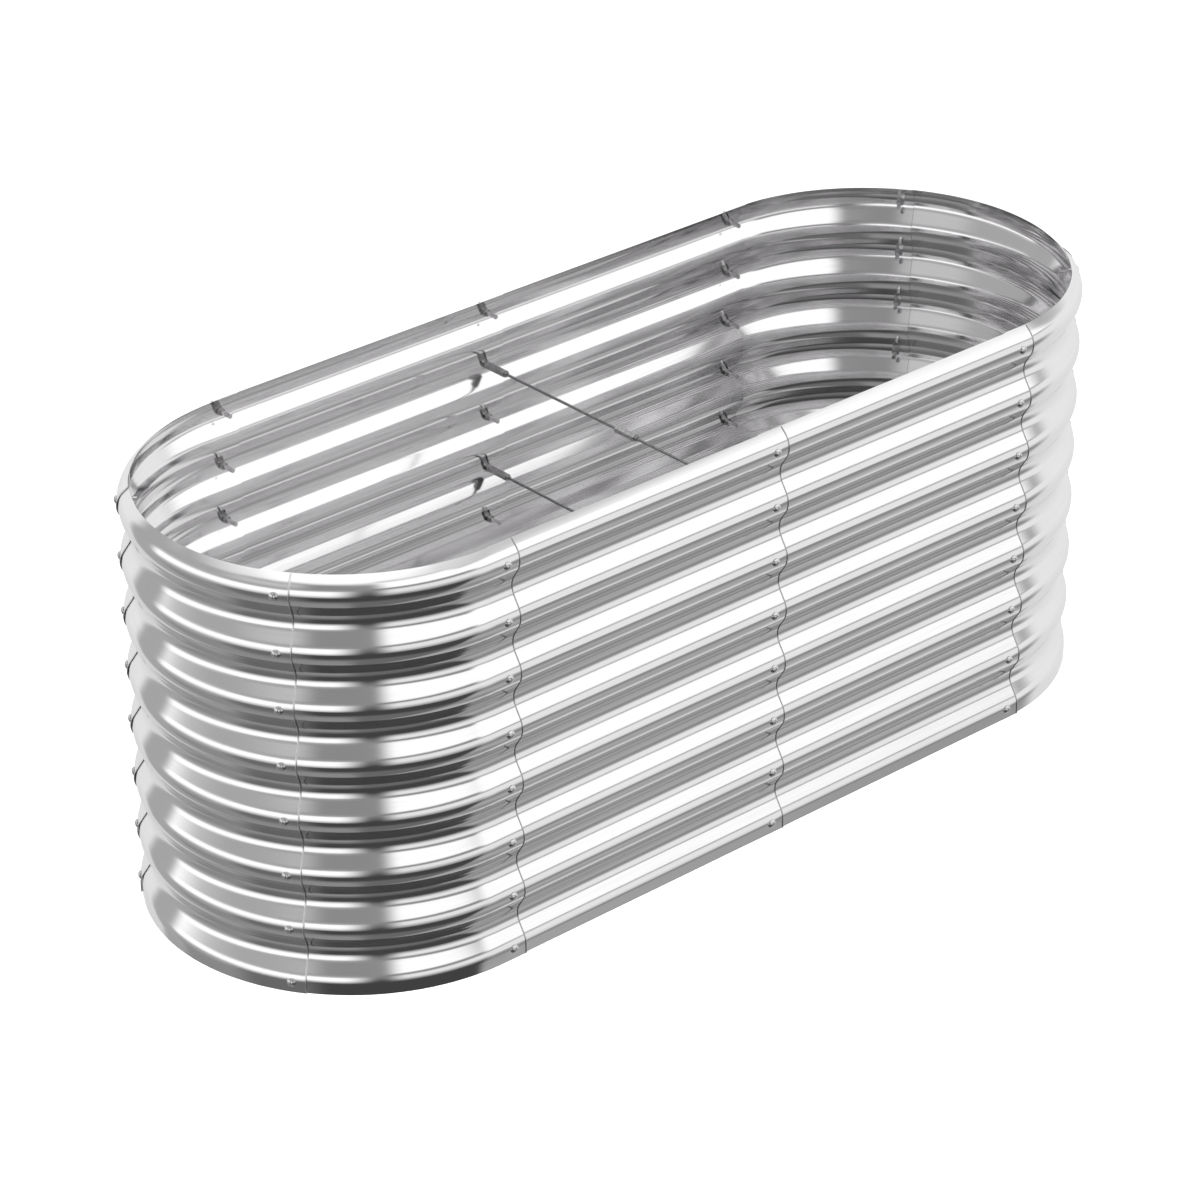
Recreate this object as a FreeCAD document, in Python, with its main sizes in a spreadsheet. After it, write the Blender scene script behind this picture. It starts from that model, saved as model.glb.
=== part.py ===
import FreeCAD, Part
import math
import os

import Sketcher

# Oval raised garden bed of corrugated galvanised sheet, open at the top and the bottom.
# Frame: X along the bed, Y across it, Z up; the origin is on the ground under the middle.
# Ten panels run anticlockwise round the bed. Each panel's far end lies outside the near end
# of the next one, and a column of bolts closes each lap. Two rods tie the long walls together.

doc = FreeCAD.newDocument("RaisedGardenBed")

# ---------------------------------------------------------------- driving dimensions, mm and degrees

SIZES = [
    ("crest_radius", 291, "middle line of the bed to the outer face of a wave crest"),
    ("half_straight", 468, "middle of the bed to the centre of each rounded end"),
    ("wave_pitch", 80, "height of one corrugation"),
    ("wave_count", 8, "corrugations, each with one bolt in every seam"),
    ("wave_depth", 16, "crest to trough across the wall"),
    ("wave_bend", 26, "bend radius at the middle of the sheet"),
    ("sheet", 0.7, "thickness of the sheet"),
    ("foot_lip", 14, "upright lip under the lowest crest"),
    ("rim_lean", 48, "lean of the flank that ends at the rim"),
    ("straight_pitch", 458, "seam to seam along a long wall"),
    ("seam_shift", 7, "middle of the bed to the middle seams"),
    ("front_seam_angle", 33.3, "end seams on the front side, from the long axis"),
    ("back_seam_angle", 37, "end seams on the back side, from the long axis"),
    ("lap_margin", 20, "bolt line to the end of the panel"),
    ("lap_step", 1.6, "outer panel outside the inner one at a seam"),
    ("bolt_diameter", 6, "shank of the seam bolts"),
    ("bolt_length", 26, "shank of the seam bolts under the head"),
    ("hole_play", 0.5, "gap round the shank in the sheets"),
    ("head_diameter", 12, "domed bolt head"),
    ("head_edge", 0.8, "upright edge of the head"),
    ("head_height", 3.4, "whole head"),
    ("recess_length", 6, "cross recess in the head, tip to tip"),
    ("recess_width", 1.2, "cross recess slot"),
    ("recess_depth", 1.6, "cross recess from the top of the head"),
    ("nut_width", 10, "seam nut across its flats"),
    ("nut_height", 5, "seam nut"),
    ("thread_play", 0.1, "gap round a shank in its nut"),
    ("seat_gap", 0.1, "head or nut clear of the bent sheet"),
    ("upper_brace_row", 2, "bolt row of the upper cross brace, counted from the rim"),
    ("lower_brace_row", 4, "bolt row of the lower cross brace, counted from the rim"),
    ("rod_diameter", 4, "rods of the cross braces"),
    ("rod_grip", 15, "rod inside a sleeve"),
    ("sleeve_width", 10, "hexagonal sleeves across their flats"),
    ("end_sleeve_length", 36, "sleeve that joins a rod to a seam bolt"),
    ("coupling_length", 38, "sleeve that joins the two rods"),
    ("lock_nut_width", 7, "rod nut across its flats"),
    ("lock_nut_height", 3.2, "rod nut"),
    ("corner_break", 0.8, "chamfer on the corners of nuts and sleeves"),
]

sheet = doc.addObject("Spreadsheet::Sheet", "Sizes")
for row, (name, value, meaning) in enumerate(SIZES, start=1):
    sheet.set(f"A{row}", name)
    sheet.set(f"B{row}", str(value))
    sheet.set(f"C{row}", meaning)
    sheet.setAlias(f"B{row}", name)
doc.recompute()


def size(name):
    """The value of a cell of the sheet."""
    return float(sheet.get(name))


def waves():
    """The number of corrugations, as a whole number."""
    return int(round(size("wave_count")))


# ---------------------------------------------------------------- expressions shared by several pieces

CREST = "Sizes.crest_radius"
MID_CREST = "(Sizes.crest_radius - Sizes.sheet / 2)"
PITCH = "Sizes.wave_pitch"
ROWS = "round(Sizes.wave_count)"
MARGIN = "Sizes.lap_margin"
# under the head of a bolt, on the outer of the two lapped sheets
HEAD_SEAT = "(Sizes.crest_radius + Sizes.lap_step + Sizes.seat_gap)"
SHANK_END = f"({HEAD_SEAT} - Sizes.bolt_length)"
# the corners of a nut bear on the hollow side of the inner sheet's crest
HOLLOW = "(Sizes.wave_bend - Sizes.sheet / 2)"
NUT_CORNER = "(Sizes.nut_width / 2 / cos(30))"
NUT_SINK = f"({HOLLOW} - sqrt({HOLLOW} ^ 2 - {NUT_CORNER} ^ 2))"
NUT_SEAT = f"({CREST} - Sizes.sheet - {NUT_SINK} - Sizes.seat_gap)"
NUT_END = f"({NUT_SEAT} - Sizes.nut_height)"
# an end sleeve screws on to the shank of the bolt, behind its nut
SLEEVE_SEAT = f"({NUT_END} - Sizes.seat_gap)"
SLEEVE_END = f"({SLEEVE_SEAT} - Sizes.end_sleeve_length)"
COUPLING_END = "(Sizes.coupling_length / 2)"
HOLE = "(Sizes.bolt_diameter / 2 + Sizes.hole_play)"
BOLT_BORE = "(Sizes.bolt_diameter / 2 + Sizes.thread_play)"
ROD_BORE = "(Sizes.rod_diameter / 2 + Sizes.thread_play)"

UP = FreeCAD.Vector(0, 0, 1)
OUTWARDS = FreeCAD.Rotation(FreeCAD.Vector(0, 1, 0), 90)


def bind(thing, **expressions):
    """Ties properties of a document object to the sheet."""
    for prop, text in expressions.items():
        thing.setExpression(prop, text)


def place(thing, x="0", y="0", z="0", angle="0 deg"):
    """Ties a placement, turned about Z, to the sheet."""
    thing.Placement = FreeCAD.Placement(FreeCAD.Vector(0, 0, 0), FreeCAD.Rotation(UP, 1))
    thing.setExpression("Placement.Base.x", x)
    thing.setExpression("Placement.Base.y", y)
    thing.setExpression("Placement.Base.z", z)
    thing.setExpression("Placement.Rotation.Angle", angle)


def lay_outwards(thing, start):
    """Lays a round or hexagonal solid along local X, from start outwards."""
    thing.Placement = FreeCAD.Placement(FreeCAD.Vector(0, 0, 0), OUTWARDS)
    thing.setExpression("Placement.Base.x", start)


def new_body(label):
    body = doc.addObject("PartDesign::Body", label)
    body.Label = label
    return body


def origin_item(body, role):
    return next(item for item in body.Origin.OriginFeatures if item.Role == role)


def new_sketch(body, name):
    """A sketch on the body's XZ plane, which draws X outwards and Z upwards."""
    sketch = body.newObject("Sketcher::SketchObject", name)
    sketch.AttachmentSupport = [(origin_item(body, "XZ_Plane"), "")]
    sketch.MapMode = "FlatFace"
    return sketch


class Outline:
    """Collects a sketch's geometry and constraints, and ties the sizes to the sheet."""

    def __init__(self, sketch):
        self.sketch = sketch
        self.rules = []
        self.ties = []

    def add(self, shape):
        return self.sketch.addGeometry(shape, False)

    def rule(self, *words):
        self.rules.append(Sketcher.Constraint(*words))

    def tie(self, text, *words):
        """A dimensional constraint whose value is the expression."""
        self.ties.append((len(self.rules), text))
        self.rules.append(Sketcher.Constraint(*words))

    def close(self):
        self.sketch.addConstraint(self.rules)
        for index, text in self.ties:
            self.sketch.setExpression(f"Constraints[{index}]", text)


def vector(x, z):
    return FreeCAD.Vector(x, z, 0)


# ---------------------------------------------------------------- the corrugated section

ORIGIN = (-1, 1)
LOWER = 1
UPPER = 2
CENTRE = 3


def arc(x, z, radius, start, end):
    circle = Part.Circle(vector(x, z), FreeCAD.Vector(0, 0, 1), radius)
    return Part.ArcOfCircle(circle, start, end)


def face_line(outline, side, shared):
    """One face of the bent sheet, from the ground to the rim.

    side is +1 on the outer face and -1 on the inner one. shared holds the bends of the face
    drawn before, whose centres this face keeps. Returns the foot line, the rim line and the bends.
    """
    half = size("sheet") / 2
    bend = size("wave_bend")
    crest_x = size("crest_radius") - half - bend
    trough_x = size("crest_radius") - half - size("wave_depth") + bend
    pitch = size("wave_pitch")
    lip = size("foot_lip")
    lean = math.radians(size("rim_lean"))
    across = trough_x - crest_x
    slope = math.atan2(pitch / 2, across) - math.acos(2 * bend / math.hypot(across, pitch / 2))
    crest_bend = bend + side * half
    trough_bend = bend - side * half

    foot_x = crest_x + crest_bend
    foot = outline.add(Part.LineSegment(vector(foot_x, 0), vector(foot_x, lip)))
    outline.rule("Vertical", foot)
    outline.rule("PointOnObject", foot, LOWER, -1)
    bends = []
    last, last_end = foot, UPPER
    corner = vector(foot_x, lip)
    for step in range(2 * waves() - 1):
        height = lip + step * pitch / 2
        is_crest = step % 2 == 0
        if is_crest:
            start = 0 if step == 0 else -slope
            end = lean if step == 2 * waves() - 2 else slope
            bent = arc(crest_x, height, crest_bend, start, end)
            near, far = LOWER, UPPER
            near_point, far_point = bent.StartPoint, bent.EndPoint
        else:
            bent = arc(trough_x, height, trough_bend, math.pi - slope, math.pi + slope)
            near, far = UPPER, LOWER
            near_point, far_point = bent.EndPoint, bent.StartPoint
        if step > 0:
            flank = outline.add(Part.LineSegment(corner, near_point))
            outline.rule("Tangent", last, last_end, flank, LOWER)
            last, last_end = flank, UPPER
        bends.append(outline.add(bent))
        outline.rule("Tangent", last, last_end, bends[-1], near)
        last, last_end, corner = bends[-1], far, far_point
        if shared:
            outline.rule("Coincident", bends[-1], CENTRE, shared[step], CENTRE)
        else:
            outline.tie(f"Sizes.foot_lip + {step} * {PITCH} / 2", "DistanceY", *ORIGIN, bends[-1], CENTRE, height)
            if step > 1:
                outline.rule("Vertical", bends[-1], CENTRE, bends[step % 2], CENTRE)
        if step > 1:
            outline.rule("Equal", bends[-1], bends[step % 2])
    sign = "+" if side > 0 else "-"
    outline.tie(f"Sizes.wave_bend {sign} Sizes.sheet / 2", "Radius", bends[0], crest_bend)
    outline.tie(f"Sizes.wave_bend - 1 * ({sign} Sizes.sheet / 2)", "Radius", bends[1], trough_bend)
    if not shared:
        outline.tie(f"{MID_CREST} - Sizes.wave_bend", "DistanceX", *ORIGIN, bends[0], CENTRE, crest_x)
        trough = f"{MID_CREST} - Sizes.wave_depth + Sizes.wave_bend"
        outline.tie(trough, "DistanceX", *ORIGIN, bends[1], CENTRE, trough_x)
    reach = (size("wave_depth") - bend * (1 - math.cos(lean))) / math.sin(lean)
    rim_end = vector(corner.x - reach * math.sin(lean), corner.y + reach * math.cos(lean))
    rim = outline.add(Part.LineSegment(corner, rim_end))
    outline.rule("Tangent", last, last_end, rim, LOWER)
    return foot, rim, bends


def draw_section(sketch):
    """The closed section of the sheet, which stands on the ground."""
    outline = Outline(sketch)
    outer_foot, outer_rim, bends = face_line(outline, 1, None)
    inner_foot, inner_rim, _ = face_line(outline, -1, bends)
    points = [sketch.Geometry[line].StartPoint for line in (inner_foot, outer_foot)]
    sole = outline.add(Part.LineSegment(*points))
    outline.rule("Coincident", sole, 1, inner_foot, LOWER)
    outline.rule("Coincident", sole, 2, outer_foot, LOWER)
    points = [sketch.Geometry[line].EndPoint for line in (inner_rim, outer_rim)]
    edge = outline.add(Part.LineSegment(*points))
    outline.rule("Coincident", edge, 1, inner_rim, UPPER)
    outline.rule("Coincident", edge, 2, outer_rim, UPPER)
    outline.rule("Perpendicular", edge, outer_rim)
    lean = math.radians(size("rim_lean"))
    outline.tie("Sizes.rim_lean * 1 deg + 90 deg", "Angle", outer_rim, lean + math.pi / 2)
    rim_x = points[1].x
    outline.tie(f"{CREST} - Sizes.wave_depth", "DistanceX", *ORIGIN, outer_rim, UPPER, rim_x)
    outline.close()


# ---------------------------------------------------------------- seams


def seam(x, angle, turn=None, tail=None):
    """A seam stands at x on the middle line, and its bolts point outwards at the angle.

    A seam of a rounded end gives its turn from the long axis. A seam between a straight panel
    and a bent one gives the tail, which is how far the bent panel runs on along the wall.
    """
    return {"x": x, "angle": angle, "turn": turn, "tail": tail}


MIDDLE = "Sizes.seam_shift"
LEFT = "(Sizes.seam_shift - Sizes.straight_pitch)"
RIGHT = "(Sizes.seam_shift + Sizes.straight_pitch)"
END = "Sizes.half_straight"
FRONT_TURN = "(Sizes.front_seam_angle * 1 deg)"
BACK_TURN = "(Sizes.back_seam_angle * 1 deg)"
LEFT_TAIL = f"({END} + {LEFT})"
RIGHT_TAIL = f"({END} - {RIGHT})"

SEAMS = {
    "front_middle": seam(MIDDLE, "-90 deg"),
    "front_right": seam(RIGHT, "-90 deg", tail=RIGHT_TAIL),
    "right_end_front": seam(END, f"-{FRONT_TURN}", turn=FRONT_TURN),
    "right_end_back": seam(END, BACK_TURN, turn=BACK_TURN),
    "back_right": seam(RIGHT, "90 deg", tail=RIGHT_TAIL),
    "back_middle": seam(MIDDLE, "90 deg"),
    "back_left": seam(LEFT, "90 deg", tail=LEFT_TAIL),
    "left_end_back": seam(f"-{END}", f"(180 deg - {BACK_TURN})", turn=BACK_TURN),
    "left_end_front": seam(f"-{END}", f"(180 deg + {FRONT_TURN})", turn=FRONT_TURN),
    "front_left": seam(LEFT, "270 deg", tail=LEFT_TAIL),
}


def repeat_up_the_seam(body, first):
    """Copies what the body holds to every row above the lowest one."""
    doc.recompute()
    rows = body.newObject("PartDesign::LinearPattern", "Rows")
    rows.TransformMode = "Whole shape"
    rows.Originals = []
    rows.Direction = (origin_item(body, "Z_Axis"), [""])
    rows.Mode = "Spacing"
    bind(rows, Offset=PITCH, Occurrences=ROWS)
    body.Tip = rows
    place(body, x=first["x"], z="Sizes.foot_lip", angle=first["angle"])


def round_cut(body, start, length, radius):
    bore = body.newObject("PartDesign::SubtractiveCylinder", "Bore")
    bind(bore, Height=length, Radius=radius)
    lay_outwards(bore, start)


def make_drill(name, where):
    """The holes that one seam's bolts need, through both sheets."""
    body = new_body(f"{name}_drill")
    bit = body.newObject("PartDesign::AdditiveCylinder", "Bit")
    bind(bit, Height="Sizes.lap_step + 2 * Sizes.wave_depth", Radius=HOLE)
    lay_outwards(bit, f"{CREST} - Sizes.wave_depth")
    repeat_up_the_seam(body, where)
    return body


# ---------------------------------------------------------------- bolts and nuts


def draw_bolt(sketch):
    """Half of a bolt with a domed head, above its own axis."""
    outline = Outline(sketch)
    shank = size("bolt_diameter") / 2
    head = size("head_diameter") / 2
    seat = size("crest_radius") + size("lap_step") + size("seat_gap")
    tip = seat - size("bolt_length")
    edge = seat + size("head_edge")
    top = seat + size("head_height")
    corners = [vector(tip, 0), vector(tip, shank), vector(seat, shank), vector(seat, head), vector(edge, head)]
    lines = [outline.add(Part.LineSegment(*pair)) for pair in zip(corners, corners[1:])]
    rise = top - edge
    dome_radius = (head ** 2 + rise ** 2) / (2 * rise)
    dome = outline.add(arc(top - dome_radius, 0, dome_radius, 0, math.asin(head / dome_radius)))
    axis = outline.add(Part.LineSegment(vector(top, 0), corners[0]))
    for line, following in zip(lines, lines[1:]):
        outline.rule("Coincident", line, UPPER, following, LOWER)
    outline.rule("Coincident", lines[-1], UPPER, dome, UPPER)
    outline.rule("Coincident", dome, LOWER, axis, LOWER)
    outline.rule("Coincident", axis, UPPER, lines[0], LOWER)
    for line in (lines[0], lines[2]):
        outline.rule("Vertical", line)
    for line in (lines[1], lines[3]):
        outline.rule("Horizontal", line)
    for line, point in ((axis, LOWER), (axis, UPPER), (dome, CENTRE)):
        outline.rule("PointOnObject", line, point, -1)
    outline.tie(SHANK_END, "DistanceX", *ORIGIN, lines[0], LOWER, tip)
    outline.tie("Sizes.bolt_length", "DistanceX", lines[1], LOWER, lines[1], UPPER, seat - tip)
    outline.tie("Sizes.head_edge", "DistanceX", lines[3], LOWER, lines[3], UPPER, edge - seat)
    outline.tie(f"{HEAD_SEAT} + Sizes.head_height", "DistanceX", *ORIGIN, dome, LOWER, top)
    outline.tie("Sizes.bolt_diameter / 2", "DistanceY", *ORIGIN, lines[1], LOWER, shank)
    outline.tie("Sizes.head_diameter / 2", "DistanceY", *ORIGIN, lines[3], LOWER, head)
    outline.close()


def make_bolts(name, where):
    """The column of bolts of one seam, heads outside."""
    body = new_body(f"{name}_bolts")
    half = new_sketch(body, "HalfBolt")
    draw_bolt(half)
    turned = body.newObject("PartDesign::Revolution", "Turned")
    turned.Profile = half
    turned.ReferenceAxis = (half, ["H_Axis"])
    turned.Angle = 360
    half.Visibility = False
    slots = (("Sizes.recess_length", "Sizes.recess_width"), ("Sizes.recess_width", "Sizes.recess_length"))
    for across, upright in slots:
        slot = body.newObject("PartDesign::SubtractiveBox", "Slot")
        bind(slot, Length="2 * Sizes.recess_depth", Width=across, Height=upright)
        slot.setExpression("Placement.Base.x", f"{HEAD_SEAT} + Sizes.head_height - Sizes.recess_depth")
        slot.setExpression("Placement.Base.y", f"-{across} / 2")
        slot.setExpression("Placement.Base.z", f"-{upright} / 2")
    repeat_up_the_seam(body, where)
    return body


def draw_bevels(sketch, start, length, width):
    """A triangle over the corners at each end of a hexagonal bar, to be turned away.

    It is drawn roughly first, clear of both axes, and its ties then bring it to size.
    """
    outline = Outline(sketch)
    flat, clear, bevel = 10, 20, 5
    for face_x, end, inwards in ((100, start, 1), (150, f"({start} + {length})", -1)):
        points = [vector(face_x, flat), vector(face_x, clear), vector(face_x + bevel * inwards, clear)]
        face = outline.add(Part.LineSegment(points[0], points[1]))
        top = outline.add(Part.LineSegment(points[1], points[2]))
        slant = outline.add(Part.LineSegment(points[2], points[0]))
        for line, following in ((face, top), (top, slant), (slant, face)):
            outline.rule("Coincident", line, UPPER, following, LOWER)
        outline.rule("Vertical", face)
        outline.rule("Horizontal", top)
        outline.tie(end, "DistanceX", *ORIGIN, face, LOWER, face_x)
        outline.tie(f"{width} / 2", "DistanceY", *ORIGIN, face, LOWER, flat)
        outline.tie(f"{width} / 2 / cos(30) * 1.1", "DistanceY", *ORIGIN, face, UPPER, clear)
        near, far = (LOWER, UPPER) if inwards > 0 else (UPPER, LOWER)
        outline.tie("Sizes.corner_break", "DistanceX", top, near, top, far, bevel)
    outline.close()


def add_hexagon(body, start, length, width, bore):
    """A hexagonal bar along local X with a bore and bevelled corners at both ends."""
    bar = body.newObject("PartDesign::AdditivePrism", "Hexagon")
    bar.Polygon = 6
    bind(bar, Circumradius=f"{width} / 2 / cos(30)", Height=length)
    lay_outwards(bar, start)
    corners = new_sketch(body, "Bevels")
    draw_bevels(corners, start, length, width)
    turned = body.newObject("PartDesign::Groove", "BevelledCorners")
    turned.Profile = corners
    turned.ReferenceAxis = (corners, ["H_Axis"])
    turned.Angle = 360
    corners.Visibility = False
    round_cut(body, start, length, bore)


def make_nuts(name, where):
    """The column of nuts of one seam, inside the bed."""
    body = new_body(f"{name}_nuts")
    add_hexagon(body, NUT_END, "Sizes.nut_height", "Sizes.nut_width", BOLT_BORE)
    repeat_up_the_seam(body, where)
    return body


# ---------------------------------------------------------------- panels


def section_copy():
    """The section, stood upright. Every panel is bent or drawn from this one sketch."""
    sketch = doc.addObject("Sketcher::SketchObject", "Section")
    sketch.Placement = FreeCAD.Placement(FreeCAD.Vector(0, 0, 0), FreeCAD.Rotation(FreeCAD.Vector(1, 0, 0), 90))
    draw_section(sketch)
    return sketch


LAP_TURN = f"({MARGIN} / {CREST} * 1 rad)"


def swung(centre_x, angle, lead, reach, start="0 deg"):
    """Placement of a panel, swung about its near bolt line so that its far end lies outside.

    lead is the straight length before the bend, and reach is how far the far bolt line lies
    along the wall, as the swing sees it. start is where the panel's own drawing begins, as
    an angle from the near bolt line.
    """
    turned = f"({angle} - asin(Sizes.lap_step / ({reach})))"
    x = f"{centre_x} + {CREST} * (cos({angle}) - cos({turned})) + ({lead}) * (sin({angle}) - sin({turned}))"
    y = f"{CREST} * (sin({angle}) - sin({turned})) - ({lead}) * (cos({angle}) - cos({turned}))"
    return {"x": x, "y": y, "angle": f"{turned} + {start}"}


def drilled(label, blank, where, near, far):
    """Cuts the holes of the two seams that a panel reaches, and gives the panel its name."""
    place(blank, **where)
    holes = doc.addObject("Part::Compound", f"{label}_holes")
    holes.Links = [near, far]
    panel = doc.addObject("Part::Cut", label)
    panel.Base = blank
    panel.Tool = holes
    panel.Refine = False
    panel.Label = label
    return panel


def straight_panel(section, label, near, far, near_drill, far_drill):
    """A flat run of sheet, drawn both ways from its near bolt line."""
    blank = doc.addObject("Part::Extrusion", f"{label}_blank")
    blank.Base = section
    blank.DirMode = "Custom"
    blank.Dir = FreeCAD.Vector(0, 1, 0)
    blank.Solid = True
    bind(blank, LengthFwd=f"Sizes.straight_pitch + {MARGIN}", LengthRev=MARGIN)
    where = swung(near["x"], near["angle"], "0", "Sizes.straight_pitch")
    return drilled(label, blank, where, near_drill, far_drill)


def middle_end_panel(section, label, near, far, near_drill, far_drill):
    """A panel bent round the centre of a rounded end, from bolt line to bolt line."""
    turn = f"({near['turn']} + {far['turn']})"
    blank = doc.addObject("Part::Revolution", f"{label}_blank")
    blank.Source = section
    blank.Axis = UP
    blank.Solid = True
    bind(blank, Angle=f"{turn} + 2 * {LAP_TURN}")
    where = swung(near["x"], near["angle"], "0", f"{CREST} * sin({turn})", f"-{LAP_TURN}")
    return drilled(label, blank, where, near_drill, far_drill)


def draw_path(sketch, turn, tail, turns_left):
    """A bend that starts at the section, and the straight tail after it."""
    outline = Outline(sketch)
    radius = size("crest_radius")
    angle = math.radians(55)
    length = size("lap_margin") + size("half_straight") - size("straight_pitch")
    if turns_left:
        bend = arc(0, 0, radius, 0, angle)
        corner, near, far = bend.EndPoint, LOWER, UPPER
        onwards = vector(-math.sin(angle), math.cos(angle))
    else:
        bend = arc(0, 0, radius, -angle, 0)
        corner, near, far = bend.StartPoint, UPPER, LOWER
        onwards = vector(-math.sin(angle), -math.cos(angle))
    curve = outline.add(bend)
    line = outline.add(Part.LineSegment(corner, corner + onwards * length))
    outline.rule("Coincident", curve, CENTRE, *ORIGIN)
    outline.rule("PointOnObject", curve, near, -1)
    outline.rule("Tangent", curve, far, line, LOWER)
    outline.tie(CREST, "Radius", curve, radius)
    outline.tie(f"{turn} + {LAP_TURN}", "Angle", curve, angle)
    outline.tie(f"{tail} + {MARGIN}", "Distance", line, length)
    outline.close()


def side_end_panel(section, label, near, far, near_drill, far_drill):
    """A bent panel with a short straight tail, where it laps a straight panel.

    The sheet is drawn along its path from the end of the bend, whichever end that is.
    """
    tail_first = near["turn"] is None
    end_seam, wall_seam = (far, near) if tail_first else (near, far)
    turn = f"(90 deg - {end_seam['turn']})"
    tail = wall_seam["tail"]
    path = doc.addObject("Sketcher::SketchObject", f"{label}_path")
    draw_path(path, turn, tail, not tail_first)
    blank = doc.addObject("Part::Sweep", f"{label}_blank")
    blank.Sections = [section]
    blank.Spine = (path, ["Edge1", "Edge2"])
    blank.Solid = True
    if tail_first:
        reach = f"{CREST} * sin({turn}) + {tail} * cos({turn})"
        where = swung(end_seam["x"], near["angle"], tail, reach, f"{turn} + {LAP_TURN}")
    else:
        reach = f"{CREST} * sin({turn}) + {tail}"
        where = swung(end_seam["x"], near["angle"], "0", reach, f"-{LAP_TURN}")
    return drilled(label, blank, where, near_drill, far_drill)


# ---------------------------------------------------------------- cross braces


def brace_piece(label, height, towards):
    """A body on the line of a brace, whose local X points at the wall that it is nearer to."""
    body = new_body(label)
    place(body, x="Sizes.seam_shift", z=height, angle=towards)
    return body


def make_end_sleeve(label, height, towards):
    body = brace_piece(label, height, towards)
    add_hexagon(body, SLEEVE_END, "Sizes.end_sleeve_length", "Sizes.sleeve_width", ROD_BORE)
    shank_in_sleeve = f"{SLEEVE_SEAT} - {SHANK_END} + Sizes.corner_break"
    round_cut(body, f"{SLEEVE_SEAT} - ({shank_in_sleeve})", shank_in_sleeve, BOLT_BORE)
    return body


def make_coupling(label, height):
    body = brace_piece(label, height, "90 deg")
    add_hexagon(body, f"-{COUPLING_END}", "Sizes.coupling_length", "Sizes.sleeve_width", ROD_BORE)
    return body


def make_rod(label, height, towards):
    body = brace_piece(label, height, towards)
    rod = body.newObject("PartDesign::AdditiveCylinder", "Rod")
    inner_end = f"({COUPLING_END} - Sizes.rod_grip)"
    bind(rod, Radius="Sizes.rod_diameter / 2", Height=f"{SLEEVE_END} + Sizes.rod_grip - {inner_end}")
    lay_outwards(rod, inner_end)
    return body


def make_lock_nuts(label, height):
    """One nut against the inner end of each end sleeve, and one in front of the coupling."""
    body = brace_piece(label, height, "90 deg")
    seats = (
        f"({SLEEVE_END} - Sizes.seat_gap - Sizes.lock_nut_height)",
        f"(-{COUPLING_END} - Sizes.seat_gap - Sizes.lock_nut_height)",
        f"(-{SLEEVE_END} + Sizes.seat_gap)",
    )
    for seat in seats:
        add_hexagon(body, seat, "Sizes.lock_nut_height", "Sizes.lock_nut_width", ROD_BORE)
    return body


def make_brace(name, row):
    height = f"Sizes.foot_lip + ({ROWS} - {row}) * {PITCH}"
    return [
        make_end_sleeve(f"{name}_front_sleeve", height, "-90 deg"),
        make_rod(f"{name}_front_rod", height, "-90 deg"),
        make_coupling(f"{name}_coupling", height),
        make_rod(f"{name}_back_rod", height, "90 deg"),
        make_end_sleeve(f"{name}_back_sleeve", height, "90 deg"),
        make_lock_nuts(f"{name}_lock_nuts", height),
    ]


# ---------------------------------------------------------------- the whole bed

# each panel runs from the seam of the same line to the seam of the next line
PANELS = [
    ("front_middle", "front_right_panel", straight_panel),
    ("front_right", "right_end_front_panel", side_end_panel),
    ("right_end_front", "right_end_middle_panel", middle_end_panel),
    ("right_end_back", "right_end_back_panel", side_end_panel),
    ("back_right", "back_right_panel", straight_panel),
    ("back_middle", "back_left_panel", straight_panel),
    ("back_left", "left_end_back_panel", side_end_panel),
    ("left_end_back", "left_end_middle_panel", middle_end_panel),
    ("left_end_front", "left_end_front_panel", side_end_panel),
    ("front_left", "front_left_panel", straight_panel),
]

section = section_copy()
drills = {name: make_drill(name, where) for name, where in SEAMS.items()}
nodes = []
for index, (near, label, make_panel) in enumerate(PANELS):
    far = PANELS[(index + 1) % len(PANELS)][0]
    nodes.append(make_panel(section, label, SEAMS[near], SEAMS[far], drills[near], drills[far]))
for name, where in SEAMS.items():
    nodes.append(make_bolts(name, where))
    nodes.append(make_nuts(name, where))
nodes += make_brace("upper_brace", "round(Sizes.upper_brace_row)")
nodes += make_brace("lower_brace", "round(Sizes.lower_brace_row)")
doc.recompute()

# ---------------------------------------------------------------- checks and files

for thing in doc.Objects:
    if "Invalid" in thing.State or "Error" in thing.State:
        raise RuntimeError(f"{thing.Label} did not build: {thing.State}")
for node in nodes:
    if node.Shape.isNull() or not node.Shape.isValid():
        raise RuntimeError(f"{node.Label} has no valid shape")

os.makedirs("parts", exist_ok=True)
for node in nodes:
    node.Shape.exportStep(os.path.join("parts", f"{node.Label}.step"))
    box = node.Shape.BoundBox
    print(f"{node.Label}: {len(node.Shape.Solids)} solids, {node.Shape.Volume:.0f} mm3, top at {box.ZMax:.1f}")
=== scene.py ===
import math

import bpy
from mathutils import Matrix, Vector


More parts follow.
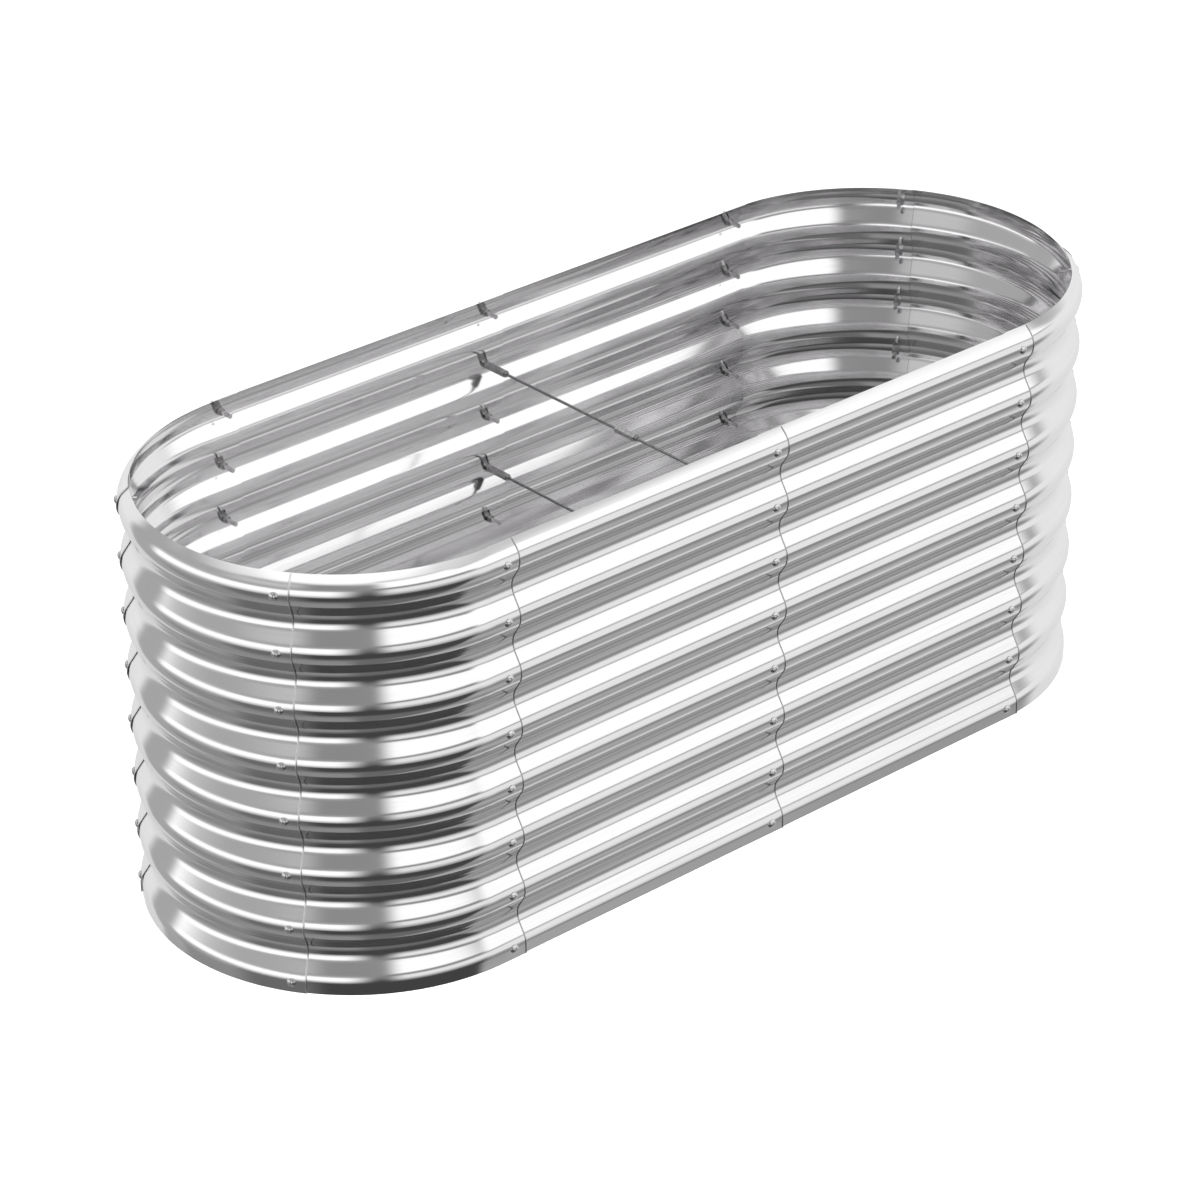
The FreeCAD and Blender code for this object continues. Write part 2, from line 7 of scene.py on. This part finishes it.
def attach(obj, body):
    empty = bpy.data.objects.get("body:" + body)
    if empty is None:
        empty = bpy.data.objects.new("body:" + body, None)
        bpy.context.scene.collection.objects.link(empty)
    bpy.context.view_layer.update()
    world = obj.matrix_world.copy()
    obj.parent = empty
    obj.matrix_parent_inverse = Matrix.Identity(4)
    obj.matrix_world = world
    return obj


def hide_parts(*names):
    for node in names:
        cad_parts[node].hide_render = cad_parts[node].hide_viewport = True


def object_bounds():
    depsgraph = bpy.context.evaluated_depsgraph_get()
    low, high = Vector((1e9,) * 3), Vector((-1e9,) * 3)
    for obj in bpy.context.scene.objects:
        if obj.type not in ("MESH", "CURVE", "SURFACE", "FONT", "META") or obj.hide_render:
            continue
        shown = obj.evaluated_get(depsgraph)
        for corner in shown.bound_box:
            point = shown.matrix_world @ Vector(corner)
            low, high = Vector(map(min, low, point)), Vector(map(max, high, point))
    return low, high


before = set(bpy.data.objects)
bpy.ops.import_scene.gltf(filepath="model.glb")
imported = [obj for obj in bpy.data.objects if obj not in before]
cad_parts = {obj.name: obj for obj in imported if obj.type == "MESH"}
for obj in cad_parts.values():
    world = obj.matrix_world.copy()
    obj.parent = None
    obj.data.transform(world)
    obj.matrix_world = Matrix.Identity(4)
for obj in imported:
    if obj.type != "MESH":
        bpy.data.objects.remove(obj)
cad_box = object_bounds()

# each panel with the bearing, in degrees, that its outer lapped end faces, and the tone of that edge: the dark
# tone is painted shade, the shadow line of the lap, and the bright one is near the sheet's own colour
PANELS = {
    "front_right_panel": (0, "painted_seam_shade"),
    "right_end_front_panel": (60.6, "painted_seam_shade"),
    "right_end_middle_panel": (130.9, "bright"),
    "right_end_back_panel": (180, "painted_seam_shade"),
    "back_right_panel": (180, "painted_seam_shade"),
    "back_left_panel": (180, "painted_seam_shade"),
    "left_end_back_panel": (-123.1, "bright"),
    "left_end_middle_panel": (-52.8, "bright"),
    "left_end_front_panel": (0, "painted_seam_shade"),
    "front_left_panel": (0, "painted_seam_shade"),
}
SEAMS = [
    "front_middle",
    "front_right",
    "right_end_front",
    "right_end_back",
    "back_right",
    "back_middle",
    "back_left",
    "left_end_back",
    "left_end_front",
    "front_left",
]
BRACES = ["upper_brace", "lower_brace"]
RIM_TOP = cad_box[1][2]

# sizes in metres
MERGE_DISTANCE = 0.00001
EDGE_RADIUS = 0.0009
END_DEPTH = 0.0015
TRIM_SLACK = 0.000001
FLOOR_RADIUS = 30
FLOOR_DROP = 0.0005

# how squarely a facet of a cut end or of an outer face looks its own way, as a cosine
FACING = 0.98
SIDELONG = 0.3

# corners sharper than this, in degrees, stay crisp
ROUND_CORNER = 35
FLAT_CORNER = 25
EDGE_CORNER = 50


# ---------------------------------------------------------------- node helpers


class NodeSheet:
    """Lays out one material's nodes and wires them."""

    def __init__(self, name):
        self.material = bpy.data.materials.new(name)
        self.material.use_nodes = True
        self.tree = self.material.node_tree
        self.shader = self.tree.nodes["Principled BSDF"]
        self.place = self.add("ShaderNodeTexCoord").outputs["Object"]

    def add(self, kind, **settings):
        node = self.tree.nodes.new(kind)
        for key, value in settings.items():
            setattr(node, key, value)
        return node

    def wire(self, source, socket):
        self.tree.links.new(source, socket)

    def stretched(self, scale):
        """The piece's own place in space, squeezed along each axis."""
        mapping = self.add("ShaderNodeMapping")
        mapping.inputs["Scale"].default_value = scale
        self.wire(self.place, mapping.inputs["Vector"])
        return mapping.outputs["Vector"]

    def noise(self, where, scale, detail, roughness=0.5):
        cloud = self.add("ShaderNodeTexNoise")
        cloud.inputs["Scale"].default_value = scale
        cloud.inputs["Detail"].default_value = detail
        cloud.inputs["Roughness"].default_value = roughness
        self.wire(where, cloud.inputs["Vector"])
        return cloud.outputs["Fac"]

    def spread(self, value, low, high, to_low, to_high):
        """Carries a range of values over to another range, and holds the ends."""
        span = self.add("ShaderNodeMapRange")
        span.inputs["From Min"].default_value = low
        span.inputs["From Max"].default_value = high
        span.inputs["To Min"].default_value = to_low
        span.inputs["To Max"].default_value = to_high
        self.wire(value, span.inputs["Value"])
        return span.outputs["Result"]

    def sum(self, first, second):
        plus = self.add("ShaderNodeMath", operation="ADD")
        self.wire(first, plus.inputs[0])
        self.wire(second, plus.inputs[1])
        return plus.outputs["Value"]

    def blend(self, factor, first, second):
        """A colour between two, each a colour or another node's output."""
        mixer = self.add("ShaderNodeMix", data_type="RGBA")
        self.wire(factor, mixer.inputs["Factor"])
        for socket, colour in (("A", first), ("B", second)):
            target = next(s for s in mixer.inputs if s.name == socket and s.type == "RGBA")
            if isinstance(colour, tuple):
                target.default_value = (*colour, 1)
            else:
                self.wire(colour, target)
        return next(s for s in mixer.outputs if s.type == "RGBA")

    def relief(self, height, distance, strength):
        bump = self.add("ShaderNodeBump")
        bump.inputs["Distance"].default_value = distance
        bump.inputs["Strength"].default_value = strength
        self.wire(height, bump.inputs["Height"])
        self.wire(bump.outputs["Normal"], self.shader.inputs["Normal"])


# ---------------------------------------------------------------- finishes


def galvanised_sheet():
    """Bright galvanised sheet: faint rolling streaks, soft clouding and a trace of crystals."""
    look = NodeSheet("galvanised_sheet")
    streaks = look.noise(look.stretched((1.5, 1.5, 70)), 5, 6, 0.62)
    clouds = look.noise(look.place, 6, 4)
    crystals = look.add("ShaderNodeTexVoronoi")
    crystals.inputs["Scale"].default_value = 190
    look.wire(look.place, crystals.inputs["Vector"])
    clouding = look.spread(clouds, 0.3, 0.7, 0, 1)
    streaking = look.spread(streaks, 0.35, 0.75, 0.0, 0.25)
    sparkle = look.spread(crystals.outputs["Color"], 0, 1, 0, 0.10)
    shade = look.blend(clouding, (0.870, 0.862, 0.872), (0.905, 0.899, 0.905))
    shade = look.blend(streaking, shade, (0.78, 0.772, 0.782))
    shade = look.blend(sparkle, shade, (0.94, 0.935, 0.94))
    look.wire(shade, look.shader.inputs["Base Color"])
    worn = look.spread(streaks, 0.3, 0.7, 0.075, 0.12)
    patchy = look.spread(clouds, 0.3, 0.7, 0.0, 0.03)
    look.wire(look.sum(worn, patchy), look.shader.inputs["Roughness"])
    look.shader.inputs["Metallic"].default_value = 1
    look.relief(look.noise(look.stretched((1, 1, 3)), 6, 2), 0.002, 0.03)
    return look.material


def plated_steel(name, low, high, roughness):
    """Zinc plate on a small turned or pressed piece; also the sheets' rolled edges, whose dark tone is painted
    shade.
    """
    look = NodeSheet(name)
    clouds = look.noise(look.place, 260, 3)
    grain = look.noise(look.place, 1800, 2)
    look.wire(look.blend(look.spread(clouds, 0.35, 0.65, 0, 1), low, high), look.shader.inputs["Base Color"])
    look.wire(look.spread(grain, 0.3, 0.7, roughness - 0.06, roughness + 0.08), look.shader.inputs["Roughness"])
    look.shader.inputs["Metallic"].default_value = 1
    look.relief(grain, 0.0002, 0.15)
    return look.material


sheet_finish = galvanised_sheet()
# rolled edge tones: the dark one is painted shade, standing in for the shadow line where one sheet laps over
# the next; the bright one is close to the sheet's own colour
edge_tones_with_painted_shade = {
    "painted_seam_shade": plated_steel("rolled_edges", (0.40, 0.39, 0.40), (0.50, 0.49, 0.50), 0.24),
    "bright": plated_steel("bright_rolled_edges", (0.80, 0.79, 0.80), (0.90, 0.89, 0.90), 0.24),
}
bolt_finish = plated_steel("plated_bolts", (0.66, 0.65, 0.66), (0.78, 0.77, 0.78), 0.20)
nut_finish = plated_steel("plated_nuts", (0.36, 0.355, 0.36), (0.48, 0.475, 0.48), 0.22)
sleeve_finish = plated_steel("brace_sleeves", (0.36, 0.355, 0.36), (0.50, 0.495, 0.50), 0.20)
rod_finish = plated_steel("brace_rods", (0.26, 0.255, 0.26), (0.36, 0.355, 0.36), 0.26)


# ---------------------------------------------------------------- pieces taken over from the frame


def take_over(node, piece_name, finish, corner_angle):
    """A smooth-shaded copy of a CAD piece, which stands in for it."""
    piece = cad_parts[node].copy()
    piece.data = piece.data.copy()
    piece.name = piece_name
    piece.data.name = piece_name
    bpy.context.scene.collection.objects.link(piece)
    piece.parent = None
    piece.matrix_world = Matrix.Identity(4)
    bpy.ops.object.select_all(action="DESELECT")
    piece.select_set(True)
    bpy.context.view_layer.objects.active = piece
    bpy.ops.object.mode_set(mode="EDIT")
    bpy.ops.mesh.select_all(action="SELECT")
    bpy.ops.mesh.remove_doubles(threshold=MERGE_DISTANCE)
    bpy.ops.object.mode_set(mode="OBJECT")
    bpy.ops.mesh.customdata_custom_splitnormals_clear()
    bpy.ops.object.shade_smooth_by_angle(angle=math.radians(corner_angle))
    piece.data.materials.clear()
    piece.data.materials.append(finish)
    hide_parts(node)
    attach(piece, "root")
    return piece


def find_end_line(mesh, bearing):
    """The numbers of the edges where a sheet's cut end meets its outer face."""
    turn = math.radians(bearing)
    along = Vector((math.cos(turn), math.sin(turn), 0))
    across = Vector((math.sin(turn), -math.cos(turn), 0))
    furthest = max(corner.co.dot(along) for corner in mesh.vertices)
    on_end, on_face = set(), set()
    for flat in mesh.polygons:
        if flat.normal.dot(along) > FACING and flat.center.dot(along) > furthest - END_DEPTH:
            on_end.update(flat.edge_keys)
        elif flat.normal.dot(across) > SIDELONG:
            on_face.update(flat.edge_keys)
    wanted = on_end & on_face
    return {edge.index for edge in mesh.edges if edge.key in wanted}


def roll_edge(sheet, piece_name, bearing, finish):
    """A fine rolled edge along the outer lapped end of a sheet, in the given tone, which for the dark edges is
    painted shade of the lap's shadow line.
    """
    bpy.ops.object.select_all(action="DESELECT")
    sheet.select_set(True)
    bpy.context.view_layer.objects.active = sheet
    bpy.ops.object.duplicate()
    roll = bpy.context.active_object
    roll.name = piece_name
    line = find_end_line(roll.data, bearing)
    bpy.ops.object.mode_set(mode="EDIT")
    bpy.ops.mesh.select_mode(type="EDGE")
    bpy.ops.mesh.select_all(action="DESELECT")
    bpy.ops.object.mode_set(mode="OBJECT")
    for edge in roll.data.edges:
        edge.select = edge.index not in line
    bpy.ops.object.mode_set(mode="EDIT")
    bpy.ops.mesh.delete(type="EDGE")
    bpy.ops.object.mode_set(mode="OBJECT")
    bpy.ops.object.convert(target="CURVE")
    roll.data.bevel_depth = EDGE_RADIUS
    roll.data.bevel_resolution = 2
    roll.data.use_fill_caps = True
    bpy.ops.object.convert(target="MESH")
    bpy.ops.object.mode_set(mode="EDIT")
    bpy.ops.mesh.select_mode(type="VERT")
    bpy.ops.mesh.select_all(action="SELECT")
    bpy.ops.mesh.bisect(
        plane_co=(0, 0, RIM_TOP),
        plane_no=(0, 0, 1),
        use_fill=True,
        clear_outer=True,
        threshold=TRIM_SLACK,
    )
    bpy.ops.mesh.select_all(action="SELECT")
    bpy.ops.mesh.normals_make_consistent(inside=False)
    bpy.ops.object.mode_set(mode="OBJECT")
    bpy.ops.object.shade_smooth_by_angle(angle=math.radians(EDGE_CORNER))
    roll.data.materials.clear()
    roll.data.materials.append(finish)
    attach(roll, "root")
    return roll


for panel, (far_end, edge) in PANELS.items():
    sheet = take_over(panel, f"{panel}_sheet", sheet_finish, ROUND_CORNER)
    roll_edge(sheet, f"{panel}_outer_edge", far_end, edge_tones_with_painted_shade[edge])
for seam in SEAMS:
    take_over(f"{seam}_bolts", f"{seam}_bolt_column", bolt_finish, ROUND_CORNER)
    take_over(f"{seam}_nuts", f"{seam}_nut_column", nut_finish, FLAT_CORNER)
for brace in BRACES:
    for part in ("front_sleeve", "back_sleeve", "coupling"):
        take_over(f"{brace}_{part}", f"{brace}_{part}_bar", sleeve_finish, FLAT_CORNER)
    for part in ("front_rod", "back_rod"):
        take_over(f"{brace}_{part}", f"{brace}_{part}_bar", rod_finish, ROUND_CORNER)
    take_over(f"{brace}_lock_nuts", f"{brace}_lock_nut_set", nut_finish, FLAT_CORNER)


# ---------------------------------------------------------------- floor, light and camera


def lay_floor():
    bpy.ops.object.select_all(action="DESELECT")
    bpy.ops.mesh.primitive_circle_add(
        vertices=96,
        radius=FLOOR_RADIUS,
        fill_type="NGON",
        location=(0, 0, -FLOOR_DROP),
    )
    floor = bpy.context.active_object
    floor.name = "studio_floor"
    bpy.ops.object.transform_apply(location=True, rotation=True, scale=True)
    look = NodeSheet("studio_floor")
    clouds = look.noise(look.place, 3, 3)
    tone = look.blend(clouds, (0.93, 0.93, 0.93), (0.95, 0.95, 0.95))
    look.wire(tone, look.shader.inputs["Base Color"])
    look.shader.inputs["Roughness"].default_value = 0.9
    floor.data.materials.append(look.material)
    floor.visible_glossy = False


def elevation_scale(tree, value, stops):
    """A grey scale from straight down to straight up, from (elevation in degrees, brightness) pairs."""
    node = tree.nodes.new("ShaderNodeValToRGB")
    elements = node.color_ramp.elements
    while len(elements) > 1:
        elements.remove(elements[-1])
    for number, (degrees, brightness) in enumerate(stops):
        place = (degrees + 90) / 180
        element = elements.new(place) if number else elements[0]
        element.position = place
        element.color = (brightness, brightness, brightness, 1)
    tree.links.new(value, node.inputs["Fac"])
    return node.outputs["Color"]


# the tones of the studio's screens, from black cloth to a lit white sheet
BLACK, DARK, DIM, GREY, MIDDLE, PALE, WHITE = 0.05, 0.13, 0.24, 0.36, 0.50, 0.76, 1.0

STUDIO_STRENGTH = 1.17

# screens hung round the bed, each tone at an elevation in degrees, from the floor up to the ceiling
LEFT_REAR = [
    (-90, DIM), (-30, DIM), (-15, GREY), (-5, WHITE), (8, WHITE), (14, MIDDLE), (20, GREY),
    (40, GREY), (60, WHITE),
]
LEFT = [
    (-90, DIM), (-60, DIM), (-40, DARK), (-20, DARK), (-5, WHITE), (10, WHITE), (16, GREY),
    (25, GREY), (30, MIDDLE), (40, MIDDLE), (48, GREY), (58, WHITE),
]
NEAR_LEFT = [
    (-90, DIM), (-60, DIM), (-40, BLACK), (-20, BLACK), (-5, WHITE), (11, WHITE), (17, GREY),
    (26, DIM), (46, DIM), (58, WHITE),
]
BEHIND_CAMERA = [
    (-90, DARK), (-55, DARK), (-40, BLACK), (-12, BLACK), (0, DARK), (20, DIM), (36, DIM),
    (46, GREY), (58, WHITE),
]
DARK_SIDE = [
    (-90, DARK), (-55, DARK), (-42, BLACK), (-20, BLACK), (-3, PALE), (9, PALE), (14, DIM),
    (20, DIM), (24, WHITE), (50, WHITE), (53, MIDDLE), (62, WHITE),
]
FRONT = [
    (-90, GREY), (-64, GREY), (-55, DIM), (-50, DIM), (-42, GREY), (-34, GREY), (-27, DIM),
    (-18, DIM), (-8, PALE), (9, PALE), (13, DIM), (17, WHITE), (42, WHITE), (45, MIDDLE), (60, PALE),
]
RIGHT = [
    (-90, MIDDLE), (0, PALE), (16, PALE), (24, MIDDLE), (34, GREY), (42, MIDDLE), (55, PALE),
]
REAR = [
    (-90, GREY), (0, PALE), (90, PALE),
]
REAR_POST = [
    (-90, DIM), (-20, GREY), (30, GREY), (60, PALE),
]
# the bearing where each set of screens begins, and how softly
PARTS = [
    (LEFT, None, None),
    (NEAR_LEFT, -154, 8),
    (BEHIND_CAMERA, -131, 9),
    (DARK_SIDE, -114, 6),
    (FRONT, -66, 3),
    (RIGHT, -26, 8),
    (REAR, 70, 15),
    (REAR_POST, 104, 4),
    (LEFT_REAR, 126, 4),
    (LEFT, 166, 10),
]


def light_studio():
    """A soft surround of pale and dark screens, as the sheet's reflections show them."""
    world = bpy.data.worlds.new("studio")
    bpy.context.scene.world = world
    world.use_nodes = True
    tree = world.node_tree
    background = tree.nodes["Background"]
    direction = tree.nodes.new("ShaderNodeTexCoord").outputs["Generated"]
    split = tree.nodes.new("ShaderNodeSeparateXYZ")
    tree.links.new(direction, split.inputs["Vector"])

    def maths(kind, first, second=None):
        node = tree.nodes.new("ShaderNodeMath")
        node.operation = kind
        for socket, value in zip(node.inputs, (first, second)):
            if value is None:
                continue
            if isinstance(value, (int, float)):
                socket.default_value = value
            else:
                tree.links.new(value, socket)
        return node.outputs["Value"]

    def onwards(value, start, edge):
        """0 before a bearing and 1 past it, with a soft edge."""
        node = tree.nodes.new("ShaderNodeMapRange")
        node.interpolation_type = "SMOOTHSTEP"
        node.inputs["From Min"].default_value = start - edge
        node.inputs["From Max"].default_value = start + edge
        tree.links.new(value, node.inputs["Value"])
        return node.outputs["Result"]

    def mixed(factor, first, second):
        node = tree.nodes.new("ShaderNodeMix")
        node.data_type = "RGBA"
        tree.links.new(factor, node.inputs["Factor"])
        sockets = [s for s in node.inputs if s.type == "RGBA"]
        tree.links.new(first, sockets[0])
        tree.links.new(second, sockets[1])
        return next(s for s in node.outputs if s.type == "RGBA")

    rise = maths("DIVIDE", maths("ADD", maths("ARCSINE", split.outputs["Z"]), math.pi / 2), math.pi)
    bearing = maths("MULTIPLY", maths("ARCTAN2", split.outputs["Y"], split.outputs["X"]), 180 / math.pi)
    tone = elevation_scale(tree, rise, PARTS[0][0])
    for scale, start, edge in PARTS[1:]:
        tone = mixed(onwards(bearing, start, edge), tone, elevation_scale(tree, rise, scale))
    tree.links.new(tone, background.inputs["Color"])
    background.inputs["Strength"].default_value = STUDIO_STRENGTH


def add_lamp(name, place, target, width, power):
    light = bpy.data.lights.new(name, "AREA")
    light.shape = "SQUARE"
    light.size = width
    light.energy = power
    lamp = bpy.data.objects.new(name, light)
    lamp.location = place
    lamp.rotation_euler = (Vector(target) - Vector(place)).to_track_quat("-Z", "Y").to_euler()
    lamp.visible_glossy = False
    lamp.visible_camera = False
    bpy.context.scene.collection.objects.link(lamp)


# the camera: millimetres for the lens, then degrees and metres
SENSOR_WIDTH = 36
LENS_LENGTH = 130.1013
CAMERA_AZIMUTH = -41.5076
CAMERA_HEIGHT = 28.6987
CAMERA_ROLL = -0.3314
CAMERA_PLACE = (-3.47256, -3.87681, 3.09165)


def stand_camera():
    """The photograph's view: a long lens, from the front left and above."""
    lens = bpy.data.cameras.new("camera")
    lens.sensor_width = SENSOR_WIDTH
    lens.lens = LENS_LENGTH
    lens.clip_end = 200
    camera = bpy.data.objects.new("camera", lens)
    azimuth, height, roll = (math.radians(angle) for angle in (CAMERA_AZIMUTH, CAMERA_HEIGHT, CAMERA_ROLL))
    back = Vector((
        math.sin(azimuth) * math.cos(height),
        -math.cos(azimuth) * math.cos(height),
        math.sin(height),
    ))
    right = (-back).cross(Vector((0, 0, 1))).normalized()
    up = right.cross(-back)
    turned_right = math.cos(roll) * right + math.sin(roll) * up
    turned_up = -math.sin(roll) * right + math.cos(roll) * up
    camera.matrix_world = Matrix.Translation(CAMERA_PLACE) @ Matrix(
        (turned_right, turned_up, back)
    ).transposed().to_4x4()
    bpy.context.scene.collection.objects.link(camera)
    bpy.context.scene.camera = camera


lay_floor()
light_studio()
add_lamp("overhead_lamp", place=(0.5, -1.5, 4.5), target=(0, 0, 0.3), width=4, power=260)
add_lamp("left_lamp", place=(-3.2, -0.6, 2.6), target=(-0.9, -0.3, 0), width=2.5, power=140)
stand_camera()
bpy.context.scene.view_settings.view_transform = "Standard"
